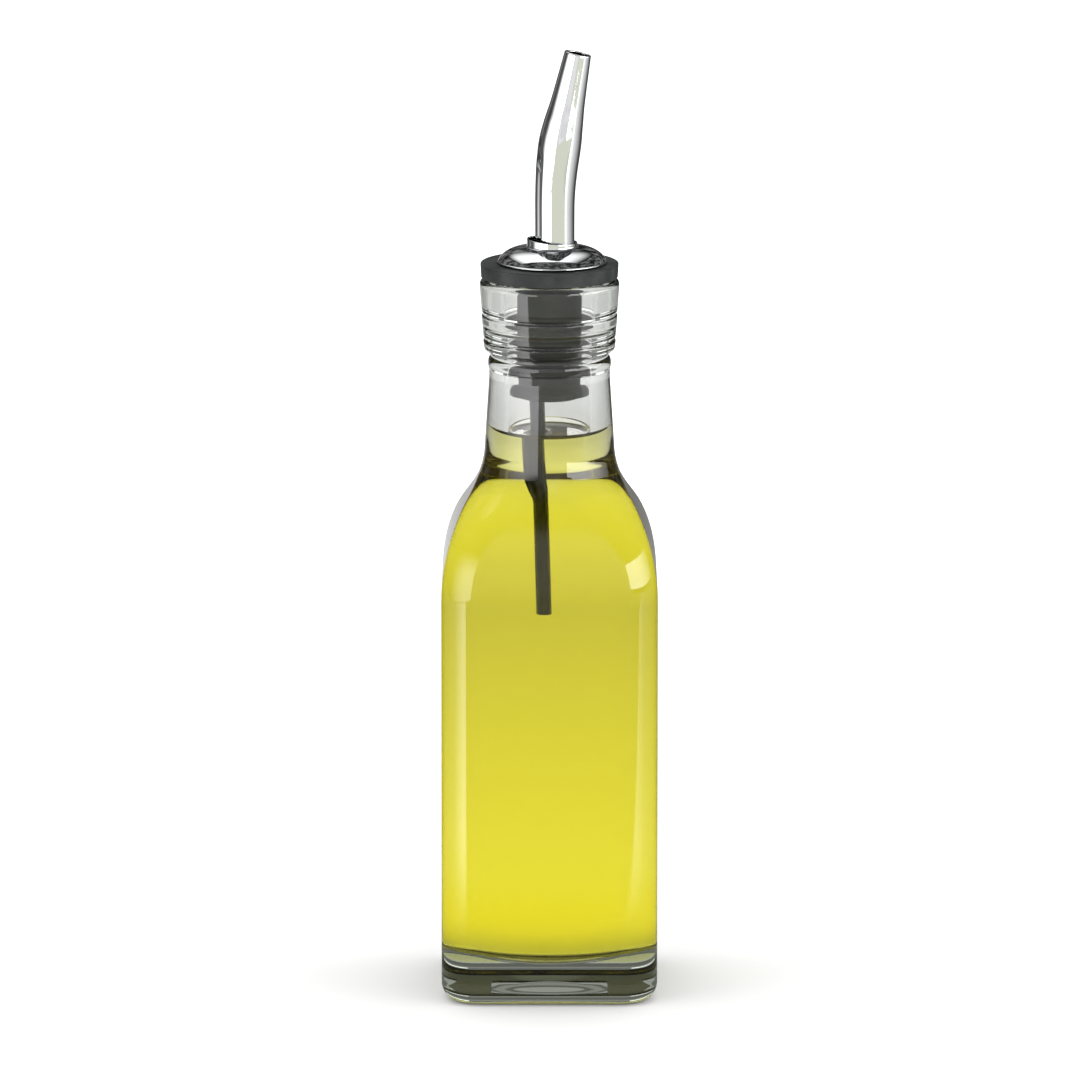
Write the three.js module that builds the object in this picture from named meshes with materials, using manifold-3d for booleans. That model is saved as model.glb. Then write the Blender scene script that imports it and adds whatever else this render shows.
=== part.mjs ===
// A square table bottle of clear glass, filled with olive oil, with a chrome pourer in its mouth.
// Millimetres, +Z up. The origin is the centre of the base. The spout leans towards +X, and the
// view from the front looks along +Y.

import * as THREE from 'three';
import { mergeVertices } from 'three/addons/utils/BufferGeometryUtils.js';
import Module from 'manifold-3d';

const wasm = await Module();
wasm.setup();

// Driving dimensions
const GAP = 0.3;            // clearance between pieces that touch
const WELD = 1e-4;          // vertices closer than this are one vertex
const ARC_STEPS = 3;        // steps along a bent stretch of an outline, doubled on arcs
const SQUARE_SIDES = 48;    // sides of the bottle and of the oil
const ROUND_SIDES = 32;     // sides of the stopper and of the cap
const TUBE_SIDES = 20;      // sides of the spout and of the breather tube
const CORNER_BIAS = 0.45;   // how much closer the sides stand at the four corners

const BODY = { half: 24, corner: 8, heel: 4, wall: 3, innerCorner: 7 };
const BASE = { pushUp: 1.2, restInner: 13, floor: 7.0, bowlRadius: 75, floorFillet: 3.2 };
const SHOULDER = { start: 90.5, inset: 19, rise: 29.5, turn: 0.783, roundAt: 117, flare: 14.63, flareAt: 117.3 };
const CAVITY = {
  start: 88, inset: 17, rise: 28, turn: 0.848, roundAt: 115.5, flare: 9.45, flareAt: 117.4, neck: 9.3, neckAt: 122.5,
};
const NECK = { foot: 14.42, footAt: 122.5, waist: 13.4, waistAt: 138.5, undercut: 13.0 };
const BEAD = { z: 141.6, half: 1.4, radius: 13.65 };
const FINISH = {
  bottom: 144.0, low: 14.5, chamfer: 0.9, top: 160.4, high: 15.5, lip: 1.4, groove: 0.35, grooveHalf: 0.45,
};
const GROOVES = [147.0, 152.6];
const BORE = { low: 9.3, lowAt: 148.5, high: 10.05, highAt: 150, mouthRound: 0.8 };

const OIL = { level: 125.7, meniscus: 1.1, meniscusWidth: 1.6 };

const FLANGE = { radius: 15.3, foot: 15.15, bottom: 160.75, top: 163.8, edge: 0.2 };
const PLUG = { core: 7.1, tip: 6.65, tipTop: 142, bottom: 133.7, edge: 0.3 };
// Soft fins round the plug, thick at the root and thin at the rim
const FINS = [
  { z: 135.2, root: 2.6, rim: 1.0, radius: 8.85 },
  { z: 140.4, root: 2.2, rim: 0.9, radius: 9.0 },
  { z: 146.2, root: 3.4, rim: 1.2, radius: 9.0 },
  { z: 151.4, root: 3.6, rim: 1.7, radius: 9.7 },
];
const POUR_BORE = { x: 2.6, radius: 2.95 };

const BREATHER = { outer: 1.7, inner: 1.05, end: 86, endX: -1.2, top: 162.4, passX: -2.8, passZ: 133 };

const CAP = { x: 0.58, rim: 12.2, bottom: 164.1, lipThick: 0.32, lip: 0.2, crown: 167.45, crownRadius: 6.0 };
const DOME_TURN = { radius: 10.65, z: 167.0 };
const COLLAR = { outer: 5.6, bore: 5.27, top: 168.9, foot: 0.35, tilt: 0.08, round: 0.12 };

const SPOUT = {
  x: 1.15, bottom: 164.15, wall: 0.55, bendFrom: 175.5, bendRadius: 100, lean: 0.2, lipRound: 0.2, rings: 22,
};
// Outer radius and length along the spout: straight, slightly swollen, then tapered to the tip
const SPOUT_OUTLINE = [[4.4, 0], [4.45, 13.8], [4.8, 25.3], [4.42, 30.8], [3.78, 36.3], [3.0, 46.8]];
const DENT = { turn: 200, spread: 30, depth: 1.1, from: 19.3, to: 25.3 };

const COLOURS = {
  glass: 0xdde4df, oil: 0xe6dc34, rubber: 0x414446, chrome: 0xd8dadb, tube: 0x24262a,
};

// General helpers

const lerp = (a, b, t) => a + (b - a) * t;
const clamp01 = (t) => Math.min(1, Math.max(0, t));
const smooth = (t) => clamp01(t) ** 2 * (3 - 2 * clamp01(t));

/** A closed geometry with its vertices welded and its collapsed faces dropped. */
function weld(geometry) {
  geometry.deleteAttribute('normal');
  geometry.deleteAttribute('uv');
  const welded = mergeVertices(geometry, WELD);
  const corners = welded.index.array;
  const faces = [];
  for (let i = 0; i < corners.length; i += 3) {
    const [a, b, c] = corners.slice(i, i + 3);
    if (a !== b && b !== c && c !== a) {
      faces.push(a, b, c);
    }
  }
  welded.setIndex(faces);
  welded.computeVertexNormals();
  return welded;
}

/** A lathed solid about the Z axis from a list of points (radius, z) that ends on the axis or closes. */
function latheZ(points, sides) {
  const geometry = new THREE.LatheGeometry(points, sides);
  geometry.rotateX(Math.PI / 2);
  return geometry;
}

/** Reverses the faces of a geometry. */
function turnInsideOut(geometry) {
  const corners = geometry.index.array;
  for (let i = 0; i < corners.length; i += 3) {
    [corners[i], corners[i + 1]] = [corners[i + 1], corners[i]];
  }
  geometry.computeVertexNormals();
  return geometry;
}

/** Moves every vertex of a geometry by a function that takes and returns a Vector3. */
function warp(geometry, move) {
  const position = geometry.getAttribute('position');
  const point = new THREE.Vector3();
  for (let i = 0; i < position.count; i += 1) {
    point.fromBufferAttribute(position, i);
    move(point, i);
    position.setXYZ(i, point.x, point.y, point.z);
  }
  return geometry;
}

/** The manifold solid of a welded geometry. */
function toSolid(geometry) {
  const { array } = geometry.getAttribute('position');
  return new wasm.Manifold(new wasm.Mesh({
    numProp: 3,
    vertProperties: new Float32Array(array),
    triVerts: new Uint32Array(geometry.index.array),
  }));
}

/** The geometry of a manifold solid. */
function toGeometry(solid) {
  const mesh = solid.getMesh();
  const geometry = new THREE.BufferGeometry();
  geometry.setAttribute('position', new THREE.BufferAttribute(mesh.vertProperties, mesh.numProp));
  geometry.setIndex(new THREE.BufferAttribute(mesh.triVerts, 1));
  geometry.computeVertexNormals();
  return geometry;
}

/** A plain upright cylinder as a manifold solid, used to cut bores. */
function cutter(radius, bottom, top, x = 0, sides = TUBE_SIDES) {
  const geometry = new THREE.CylinderGeometry(radius, radius, top - bottom, sides);
  geometry.rotateX(Math.PI / 2);
  geometry.translate(x, 0, (top + bottom) / 2);
  return toSolid(weld(geometry));
}

// Square glass

/** How far the outline of a rounded square lies from its centre in one direction. */
function roundedSquare(angle, half, corner) {
  const far = Math.max(Math.abs(Math.cos(angle)), Math.abs(Math.sin(angle)));
  const near = Math.min(Math.abs(Math.cos(angle)), Math.abs(Math.sin(angle)));
  const core = half - corner;
  if (near * half <= core * far) {
    return half / far;
  }
  const along = core * (near + far);
  return along + Math.sqrt(along ** 2 - 2 * core ** 2 + corner ** 2);
}

/** The corner radius at a height of a wall: square up to the shoulder, round from the neck's foot on. */
function wallCorner(z, half, corner, bodyHalf, from, to) {
  const share = lerp(corner / bodyHalf, 1, clamp01((z - from) / (to - from)) ** 3);
  return half * share;
}

/** The corner radius across a base or a floor: round in the middle, then in step with the wall's corner. */
function floorCorner(half, corner, bodyHalf) {
  const core = bodyHalf - corner;
  return half - core * smooth((half - core / 2) / (core / 2));
}

/** Turns an outline of points (half-width, z) into a solid whose plan is a rounded square. */
function squareLathe(outline) {
  const geometry = latheZ(outline.map(({ half, z }) => new THREE.Vector2(half, z)), SQUARE_SIDES);
  warp(geometry, (point, i) => {
    const { half, corner, bowl } = outline[i % outline.length];
    if (half === 0) {
      return;
    }
    const turn = Math.atan2(point.y, point.x);
    const angle = turn + CORNER_BIAS * Math.sin(4 * turn) / 4;
    const reach = roundedSquare(angle, half, corner);
    point.x = reach * Math.cos(angle);
    point.y = reach * Math.sin(angle);
    point.z += bowl * (reach ** 2 - half ** 2) / (2 * BASE.bowlRadius);
  });
  return weld(geometry);
}

/** The outside of the bottle, from the middle of the base up to the rim of the mouth. */
function outerOutline() {
  const path = new THREE.Path();
  path.moveTo(0, BASE.pushUp);
  path.quadraticCurveTo(BASE.restInner * 0.6, BASE.pushUp, BASE.restInner, 0);
  path.lineTo(BODY.half - BODY.heel, 0);
  path.absarc(BODY.half - BODY.heel, BODY.heel, BODY.heel, -Math.PI / 2, 0, false);
  path.absellipse(
    BODY.half - SHOULDER.inset, SHOULDER.start, SHOULDER.inset, SHOULDER.rise, 0, SHOULDER.turn, false, 0,
  );
  path.quadraticCurveTo(SHOULDER.flare, SHOULDER.flareAt, NECK.foot, NECK.footAt);
  path.lineTo(NECK.waist, NECK.waistAt);
  path.lineTo(NECK.waist, BEAD.z - BEAD.half);
  path.lineTo(BEAD.radius, BEAD.z - BEAD.half / 2);
  path.lineTo(BEAD.radius, BEAD.z + BEAD.half / 2);
  path.lineTo(NECK.undercut, BEAD.z + BEAD.half);
  path.lineTo(NECK.undercut, FINISH.bottom - GAP);
  path.lineTo(FINISH.low - FINISH.chamfer, FINISH.bottom);
  path.lineTo(FINISH.low, FINISH.bottom + FINISH.chamfer);
  for (const z of GROOVES) {
    const radius = finishRadius(z);
    path.lineTo(radius, z - FINISH.grooveHalf);
    path.lineTo(radius - FINISH.groove, z);
    path.lineTo(radius, z + FINISH.grooveHalf);
  }
  path.lineTo(FINISH.high, FINISH.top - FINISH.lip);
  path.absarc(FINISH.high - FINISH.lip, FINISH.top - FINISH.lip, FINISH.lip, 0, Math.PI / 2, false);
  return path.getPoints(ARC_STEPS).map(({ x, y }) => ({
    half: x,
    z: y,
    corner: y < BODY.heel
      ? floorCorner(x, BODY.corner, BODY.half)
      : wallCorner(y, x, BODY.corner, BODY.half, SHOULDER.start, SHOULDER.roundAt),
    bowl: 0,
  }));
}

/** The finish tapers outwards a little towards the mouth. */
function finishRadius(z) {
  return lerp(FINISH.low, FINISH.high, (z - FINISH.bottom) / (FINISH.top - FINISH.lip - FINISH.bottom));
}

/** The inside of the bottle from the middle of the floor up to the neck, pulled in by a clearance. */
function cavityOutline(gap) {
  const half = BODY.half - BODY.wall;
  const floorEdge = BASE.floor + half ** 2 / (2 * BASE.bowlRadius);
  const fillet = BASE.floorFillet;
  const path = new THREE.Path();
  path.moveTo(0, BASE.floor);
  path.quadraticCurveTo(
    half / 2, BASE.floor, half - fillet, floorEdge - fillet * (half - fillet) / BASE.bowlRadius,
  );
  path.quadraticCurveTo(half, floorEdge, half, floorEdge + fillet);
  path.lineTo(half, CAVITY.start);
  path.absellipse(
    half - CAVITY.inset, CAVITY.start, CAVITY.inset, CAVITY.rise, 0, CAVITY.turn, false, 0,
  );
  path.quadraticCurveTo(CAVITY.flare, CAVITY.flareAt, CAVITY.neck, CAVITY.neckAt);
  return path.getPoints(ARC_STEPS).map(({ x, y }) => ({
    half: Math.max(0, x - gap * Number(x > 0)),
    z: y + gap * (1 - smooth((y - floorEdge) / fillet)),
    corner: (y < floorEdge + fillet
      ? floorCorner(x, BODY.innerCorner, half)
      : wallCorner(y, x, BODY.innerCorner, half, CAVITY.start, CAVITY.roundAt)) - gap * Number(x > 0),
    bowl: 1 - smooth((y - floorEdge) / (3 * BODY.wall)),
  }));
}

/** A round outline point, for the neck and the mouth. */
const roundPoint = (radius, z) => ({ half: radius, z, corner: radius, bowl: 0 });

function bottle() {
  const inside = cavityOutline(0).reverse();
  const mouth = [
    roundPoint(BORE.high + BORE.mouthRound, FINISH.top),
    roundPoint(BORE.high, FINISH.top - BORE.mouthRound),
    roundPoint(BORE.high, BORE.highAt),
    roundPoint(BORE.low, BORE.lowAt),
  ];
  return squareLathe([...outerOutline(), ...mouth, ...inside]);
}

/** The oil's outline runs down the wall, as the cavity's does, so that both have the same facets. */
function oil() {
  const wall = cavityOutline(GAP).reverse();
  const edge = CAVITY.neck - GAP;
  const surface = [
    roundPoint(0, OIL.level),
    roundPoint(edge - OIL.meniscusWidth, OIL.level),
    roundPoint(edge - OIL.meniscusWidth / 2, OIL.level + OIL.meniscus / 4),
    roundPoint(edge, OIL.level + OIL.meniscus),
  ];
  const full = toSolid(turnInsideOut(squareLathe([...surface, ...wall])));
  return toGeometry(full.subtract(breatherCutter(BREATHER.end - GAP)));
}

// Pourer

/** Leans an upright piece on the Z axis onto the breather tube's line. */
function leanOntoBreather(geometry) {
  const slope = (BREATHER.passX - BREATHER.endX) / (BREATHER.passZ - BREATHER.end);
  return warp(geometry, (point) => {
    point.x += BREATHER.endX + slope * (point.z - BREATHER.end);
  });
}

/** The breather tube's way through the oil or the stopper, with its clearance. */
function breatherCutter(bottom) {
  const top = FLANGE.top + 1;
  const geometry = new THREE.CylinderGeometry(BREATHER.outer + GAP, BREATHER.outer + GAP, top - bottom, TUBE_SIDES);
  geometry.rotateX(Math.PI / 2);
  geometry.translate(0, 0, (top + bottom) / 2);
  return toSolid(leanOntoBreather(weld(geometry)));
}

function breatherTube() {
  const section = [
    new THREE.Vector2(BREATHER.inner, BREATHER.end),
    new THREE.Vector2(BREATHER.outer, BREATHER.end),
    new THREE.Vector2(BREATHER.outer, BREATHER.top),
    new THREE.Vector2(BREATHER.inner, BREATHER.top),
    new THREE.Vector2(BREATHER.inner, BREATHER.end),
  ];
  return leanOntoBreather(weld(latheZ(section, TUBE_SIDES)));
}

/** The plug tapers a little towards its lower end. */
function plugRadius(z) {
  return lerp(PLUG.tip, PLUG.core, clamp01((z - PLUG.bottom) / (PLUG.tipTop - PLUG.bottom)));
}

function stopper() {
  const path = new THREE.Path();
  path.moveTo(0, PLUG.bottom);
  path.lineTo(PLUG.tip - PLUG.edge, PLUG.bottom);
  for (const { z, root, rim, radius } of FINS) {
    path.lineTo(plugRadius(z - root / 2), z - root / 2);
    path.lineTo(radius, z - rim / 2);
    path.lineTo(radius, z + rim / 2);
    path.lineTo(plugRadius(z + root / 2), z + root / 2);
  }
  path.lineTo(PLUG.core, FLANGE.bottom);
  path.lineTo(FLANGE.foot, FLANGE.bottom);
  path.lineTo(FLANGE.radius, FLANGE.top - FLANGE.edge);
  path.lineTo(FLANGE.radius - FLANGE.edge, FLANGE.top);
  path.lineTo(0, FLANGE.top);
  const body = toSolid(weld(latheZ(path.getPoints(), ROUND_SIDES)));
  const bore = cutter(POUR_BORE.radius, PLUG.bottom - 1, FLANGE.top + 1, POUR_BORE.x, 24);
  return toGeometry(body.subtract(bore).subtract(breatherCutter(PLUG.bottom - 1)));
}

function cap() {
  const dome = new THREE.Path();
  dome.moveTo(0, CAP.bottom);
  dome.lineTo(CAP.rim - CAP.lip, CAP.bottom);
  dome.lineTo(CAP.rim, CAP.bottom + CAP.lipThick / 2);
  dome.lineTo(CAP.rim - CAP.lip, CAP.bottom + CAP.lipThick);
  dome.quadraticCurveTo(DOME_TURN.radius, DOME_TURN.z, CAP.crownRadius, CAP.crown);
  dome.lineTo(0, CAP.crown);
  const collar = new THREE.Path();
  collar.moveTo(0, CAP.bottom + 1);
  collar.lineTo(COLLAR.outer + COLLAR.foot, CAP.bottom + 1);
  collar.lineTo(COLLAR.outer + COLLAR.foot, CAP.crown);
  collar.lineTo(COLLAR.outer, CAP.crown + COLLAR.foot);
  collar.lineTo(COLLAR.outer, COLLAR.top - COLLAR.round);
  collar.lineTo(COLLAR.outer - COLLAR.round, COLLAR.top);
  collar.lineTo(0, COLLAR.top);
  const ring = warp(weld(latheZ(collar.getPoints(), ROUND_SIDES)), (point) => {
    point.z -= COLLAR.tilt * point.x * Number(point.z > CAP.crown + COLLAR.foot / 2);
  });
  const body = toSolid(weld(latheZ(dome.getPoints(2 * ARC_STEPS), ROUND_SIDES))).add(toSolid(ring));
  const bored = body.subtract(cutter(COLLAR.bore, CAP.bottom - 1, COLLAR.top + 1, 0, ROUND_SIDES));
  return toGeometry(bored).translate(CAP.x, 0, 0);
}

/** Where the middle of the spout lies at a length along it, and how far it leans there. */
function spoutMiddle(along) {
  const straight = SPOUT.bendFrom - SPOUT.bottom;
  const lean = Math.min(SPOUT.lean, Math.max(0, along - straight) / SPOUT.bendRadius);
  const past = Math.max(0, along - straight - SPOUT.lean * SPOUT.bendRadius);
  return {
    lean,
    x: SPOUT.x + SPOUT.bendRadius * (1 - Math.cos(lean)) + past * Math.sin(lean),
    z: SPOUT.bottom + Math.min(along, straight) + SPOUT.bendRadius * Math.sin(lean) + past * Math.cos(lean),
  };
}

/** How deep the pressed flat beside the vent is, at a length along the spout and a turn about it. */
function dentDepth(along, turn) {
  const off = Math.abs(THREE.MathUtils.euclideanModulo(turn - DENT.turn + 180, 360) - 180) / DENT.spread;
  return DENT.depth * (1 - smooth(off)) * (1 - smooth((along - DENT.from) / (DENT.to - DENT.from)));
}

function spout() {
  const outline = new THREE.SplineCurve(SPOUT_OUTLINE.map(([radius, along]) => new THREE.Vector2(radius, along)));
  const outside = outline.getPoints(SPOUT.rings);
  const tip = outside.at(-1);
  const inside = outside.map(({ x, y }) => new THREE.Vector2(x - SPOUT.wall, y)).reverse();
  const lip = new THREE.Vector2(tip.x - SPOUT.wall / 2, tip.y + SPOUT.lipRound);
  const section = [...outside, lip, ...inside, outside[0]];
  return warp(weld(latheZ(section, TUBE_SIDES)), (point) => {
    const turn = THREE.MathUtils.radToDeg(Math.atan2(point.y, point.x));
    const reach = Math.hypot(point.x, point.y);
    const scale = (reach - dentDepth(point.z, turn)) / reach;
    const { x, z, lean } = spoutMiddle(point.z);
    const across = point.x * scale;
    point.y *= scale;
    point.x = x + across * Math.cos(lean);
    point.z = z - across * Math.sin(lean);
  });
}

// Assembly

const glass = new THREE.MeshStandardMaterial({
  color: COLOURS.glass, roughness: 0.03, metalness: 0, transparent: true, opacity: 0.35,
});
const oliveOil = new THREE.MeshStandardMaterial({
  color: COLOURS.oil, roughness: 0.05, metalness: 0, transparent: true, opacity: 0.8,
});
const rubber = new THREE.MeshStandardMaterial({ color: COLOURS.rubber, roughness: 0.7, metalness: 0 });
const chrome = new THREE.MeshStandardMaterial({ color: COLOURS.chrome, roughness: 0.06, metalness: 1 });
const plastic = new THREE.MeshStandardMaterial({ color: COLOURS.tube, roughness: 0.25, metalness: 0 });

/** A named mesh of one sub-part. */
function piece(name, geometry, material) {
  const mesh = new THREE.Mesh(geometry, material);
  mesh.name = name;
  return mesh;
}

const pourer = new THREE.Group();
pourer.add(
  piece('stopper', stopper(), rubber),
  piece('breather_tube', breatherTube(), plastic),
  piece('cap', cap(), chrome),
  piece('spout', spout(), chrome),
);

const oilBottle = new THREE.Group();
oilBottle.add(piece('bottle', bottle(), glass), piece('oil', oil(), oliveOil), pourer);

export default oilBottle;
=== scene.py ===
"""A square glass bottle of olive oil with a rubber and chrome pourer, on a pale studio floor.

Sizes are in millimetres, as on the solids that this file dresses, and meshes are turned into
metres when they are finished. The origin is the centre of the base, +Z is up, the front faces -Y
and the spout leans towards +X.
"""

from __future__ import annotations

import logging
import math
from collections.abc import Callable, Iterable
from dataclasses import dataclass, field
from enum import Enum
from typing import ClassVar

import bmesh
import bpy
from mathutils import Matrix, Vector

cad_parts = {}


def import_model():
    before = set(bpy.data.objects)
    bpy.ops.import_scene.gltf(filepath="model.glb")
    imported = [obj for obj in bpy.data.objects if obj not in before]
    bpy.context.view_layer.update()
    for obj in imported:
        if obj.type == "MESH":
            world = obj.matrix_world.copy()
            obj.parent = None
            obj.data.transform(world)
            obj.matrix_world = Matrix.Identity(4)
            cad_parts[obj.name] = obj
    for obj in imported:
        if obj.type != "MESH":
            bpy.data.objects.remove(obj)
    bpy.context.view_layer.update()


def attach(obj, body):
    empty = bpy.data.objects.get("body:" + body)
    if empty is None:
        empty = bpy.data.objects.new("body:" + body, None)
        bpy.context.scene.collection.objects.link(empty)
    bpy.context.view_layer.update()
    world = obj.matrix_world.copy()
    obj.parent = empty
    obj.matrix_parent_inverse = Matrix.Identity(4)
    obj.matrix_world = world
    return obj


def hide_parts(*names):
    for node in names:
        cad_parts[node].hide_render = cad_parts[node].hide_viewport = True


log = logging.getLogger("oil_bottle")

MM = 0.001
BODY = "root"
GLASS_IOR = 1.52
OIL_IOR = 1.47
ROUND_STEPS = 160
SQUARE_STEPS = 256
WELD = 1e-4
WHITE = (1.0, 1.0, 1.0, 1.0)


class Slot(Enum):
    """The record's material slots."""

    GLASS = "glass"
    OIL = "oil"
    RUBBER = "rubber"
    CHROME = "chrome"
    TUBE = "tube"


def smooth(share: float) -> float:
    """An S-shaped step from 0 to 1."""
    held = min(1.0, max(0.0, share))
    return held * held * (3 - 2 * held)


def mix(low: float, high: float, share: float) -> float:
    """The value at a share of the way from low to high."""
    return low + (high - low) * share


# Shader expressions


class Wire:
    """The output of a shader node, with operators that add the nodes of an expression.

    Args:
        graph: The node tree that the output belongs to.
        socket: The output socket.
    """

    def __init__(self, graph: Graph, socket: bpy.types.NodeSocket) -> None:
        """Keeps the graph and the socket."""
        self.graph = graph
        self.socket = socket

    def _math(self, operation: str, first: Wire | float, second: Wire | float = 0.0) -> Wire:
        """One Math node on two values."""
        made = self.graph.node("ShaderNodeMath", {"operation": operation}, {0: first, 1: second})
        return Wire(self.graph, made.outputs[0])

    def __add__(self, other: Wire | float) -> Wire:
        """self + other."""
        return self._math("ADD", self, other)

    __radd__ = __add__

    def __sub__(self, other: Wire | float) -> Wire:
        """self - other."""
        return self._math("SUBTRACT", self, other)

    def __rsub__(self, other: float) -> Wire:
        """other - self."""
        return self._math("SUBTRACT", other, self)

    def __mul__(self, other: Wire | float) -> Wire:
        """self * other."""
        return self._math("MULTIPLY", self, other)

    __rmul__ = __mul__

    def __truediv__(self, other: Wire | float) -> Wire:
        """self / other."""
        return self._math("DIVIDE", self, other)

    def __pow__(self, other: Wire | float) -> Wire:
        """self to the power of other."""
        return self._math("POWER", self, other)

    def least(self, other: Wire | float) -> Wire:
        """The smaller of two values."""
        return self._math("MINIMUM", self, other)

    def most(self, other: Wire | float) -> Wire:
        """The larger of two values."""
        return self._math("MAXIMUM", self, other)

    def above(self, level: float) -> Wire:
        """1 where the value is above a level, else 0."""
        return self._math("GREATER_THAN", self, level)

    def ease(self, low: float, high: float) -> Wire:
        """A smooth step from 0 at low to 1 at high.

        Args:
            low: The value where the step starts.
            high: The value where it ends.

        Returns:
            The step's output.
        """
        made = self.graph.node(
            "ShaderNodeMapRange", {"interpolation_type": "SMOOTHSTEP"}, {0: self, 1: low, 2: high}
        )
        return Wire(self.graph, made.outputs[0])


class Graph:
    """A node tree that is written as Python expressions.

    Args:
        tree: The material's or world's empty node tree.
    """

    def __init__(self, tree: bpy.types.NodeTree) -> None:
        """Clears the tree and keeps it."""
        tree.nodes.clear()
        self.tree = tree

    def node(
        self,
        kind: str,
        settings: dict[str, object] | None = None,
        inputs: dict[str | int, object] | None = None,
    ) -> bpy.types.Node:
        """Adds a node, sets it up, then fills its sockets.

        Args:
            kind: The node's type name.
            settings: Values of the node's own properties, which are set first.
            inputs: Values or wires of its sockets, by name or place.

        Returns:
            The new node.
        """
        made = self.tree.nodes.new(kind)
        for name, value in (settings or {}).items():
            setattr(made, name, value)
        for name, value in (inputs or {}).items():
            if isinstance(value, Wire):
                self.tree.links.new(value.socket, made.inputs[name])
            else:
                made.inputs[name].default_value = value
        return made

    def wire(self, made: bpy.types.Node, output: str | int = 0) -> Wire:
        """One output of a node as a wire."""
        return Wire(self, made.outputs[output])

    def place(self) -> Wire:
        """The point on the piece, in metres."""
        return self.wire(self.node("ShaderNodeTexCoord"), "Object")

    def noise(self, scale: float, detail: float = 2.0, rough: float = 0.5, at: Wire | None = None) -> Wire:
        """A soft random pattern from 0 to 1.

        Args:
            scale: Cells for each metre.
            detail: Octaves of finer pattern.
            rough: How strong the finer octaves are.
            at: Where to read it, or the point on the piece.

        Returns:
            The pattern's value.
        """
        inputs = {"Vector": at or self.place(), "Scale": scale, "Detail": detail, "Roughness": rough}
        return self.wire(self.node("ShaderNodeTexNoise", inputs=inputs), 0)

    def stretched(self, x: float, y: float, z: float) -> Wire:
        """The point on the piece with each axis scaled, for drawn-out patterns."""
        made = self.node("ShaderNodeMapping", inputs={"Vector": self.place(), "Scale": (x, y, z)})
        return self.wire(made)

    def blend(self, share: Wire | float, low: object, high: object) -> Wire:
        """A colour between two others.

        Args:
            share: 0 for the first colour, 1 for the second.
            low: The first colour.
            high: The second colour.

        Returns:
            The mixed colour.
        """
        made = self.node("ShaderNodeMix", {"data_type": "RGBA"}, {0: share, 6: low, 7: high})
        return self.wire(made, 2)

    def bump(self, height: Wire, depth: float, strength: float = 1.0) -> Wire:
        """A normal that leans with a height pattern.

        Args:
            height: The pattern, from 0 to 1.
            depth: How high 1 stands, in metres.
            strength: The share of the lean that is kept.

        Returns:
            The bent normal.
        """
        inputs = {"Height": height, "Distance": depth, "Strength": strength}
        return self.wire(self.node("ShaderNodeBump", inputs=inputs))

    def shader(self, kind: str, inputs: dict[str | int, object]) -> Wire:
        """A shader node's output."""
        return self.wire(self.node(kind, inputs=inputs))

    def attribute(self, name: str) -> Wire:
        """A named value of the mesh."""
        return self.wire(self.node("ShaderNodeAttribute", {"attribute_name": name}), "Fac")

    def principled(self, inputs: dict[str | int, object]) -> Wire:
        """A principled surface."""
        return self.shader("ShaderNodeBsdfPrincipled", inputs)

    def clear(self) -> Wire:
        """A surface that lets light by unbent."""
        return self.shader("ShaderNodeBsdfTransparent", {"Color": WHITE})

    def glow(self, level: Wire, tint: Wire | tuple[float, ...] = WHITE) -> Wire:
        """A surface that shines as brightly as a value says."""
        inputs = {"Color": self.grey(level, tint), "Strength": 1.0}
        return self.shader("ShaderNodeEmission", inputs)

    def absorbing(self, lost: tuple[float, float, float]) -> Wire:
        """A volume that takes some of the light.

        Args:
            lost: What a metre takes from red, green and blue, as exponents.

        Returns:
            The volume.
        """
        density = max(lost)
        colour = tuple(1 - part / density for part in lost) + (1.0,)
        return self.shader("ShaderNodeVolumeAbsorption", {"Color": colour, "Density": density})

    def choose(self, share: Wire, low: Wire, high: Wire) -> Wire:
        """One of two shaders, or a mixture."""
        return self.wire(self.node("ShaderNodeMixShader", inputs={0: share, 1: low, 2: high}))

    def ray(self, kind: str) -> Wire:
        """1 where the ray is of one kind, such as "Shadow" or "Transmission"."""
        return self.wire(self.node("ShaderNodeLightPath"), f"Is {kind} Ray")

    def mirror_ray(self) -> Wire:
        """1 where the ray comes from a mirror, as a ray through clear glass is glossy too."""
        return self.ray("Glossy") * self.ray("Reflection")

    def axes(self, at: Wire) -> tuple[Wire, Wire, Wire]:
        """The three coordinates of a point or a direction."""
        parts = self.node("ShaderNodeSeparateXYZ", inputs={"Vector": at})
        return self.wire(parts, "X"), self.wire(parts, "Y"), self.wire(parts, "Z")

    def grey(self, level: Wire, tint: Wire | tuple[float, ...]) -> Wire:
        """A tint made as bright as a value.

        Args:
            level: How bright it is made.
            tint: The colour at 1.

        Returns:
            The colour.
        """
        colour = tint if isinstance(tint, Wire) else tint[:3]
        settings = {"operation": "SCALE"}
        return self.wire(self.node("ShaderNodeVectorMath", settings, {0: colour, "Scale": level}))

    def finish(self, surface: Wire, volume: Wire | None = None) -> None:
        """Joins the shaders to the material's output.

        Args:
            surface: The surface shader.
            volume: The volume shader of a piece with one.
        """
        inputs: dict[str | int, object] = {"Surface": surface}
        if volume is not None:
            inputs["Volume"] = volume
        self.node("ShaderNodeOutputMaterial", inputs=inputs)


def new_material(name: str) -> tuple[bpy.types.Material, Graph]:
    """An empty material.

    Args:
        name: Its name.

    Returns:
        The material and its graph.
    """
    material = bpy.data.materials.new(name)
    material.use_nodes = True
    return material, Graph(material.node_tree)


# Finishes


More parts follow.
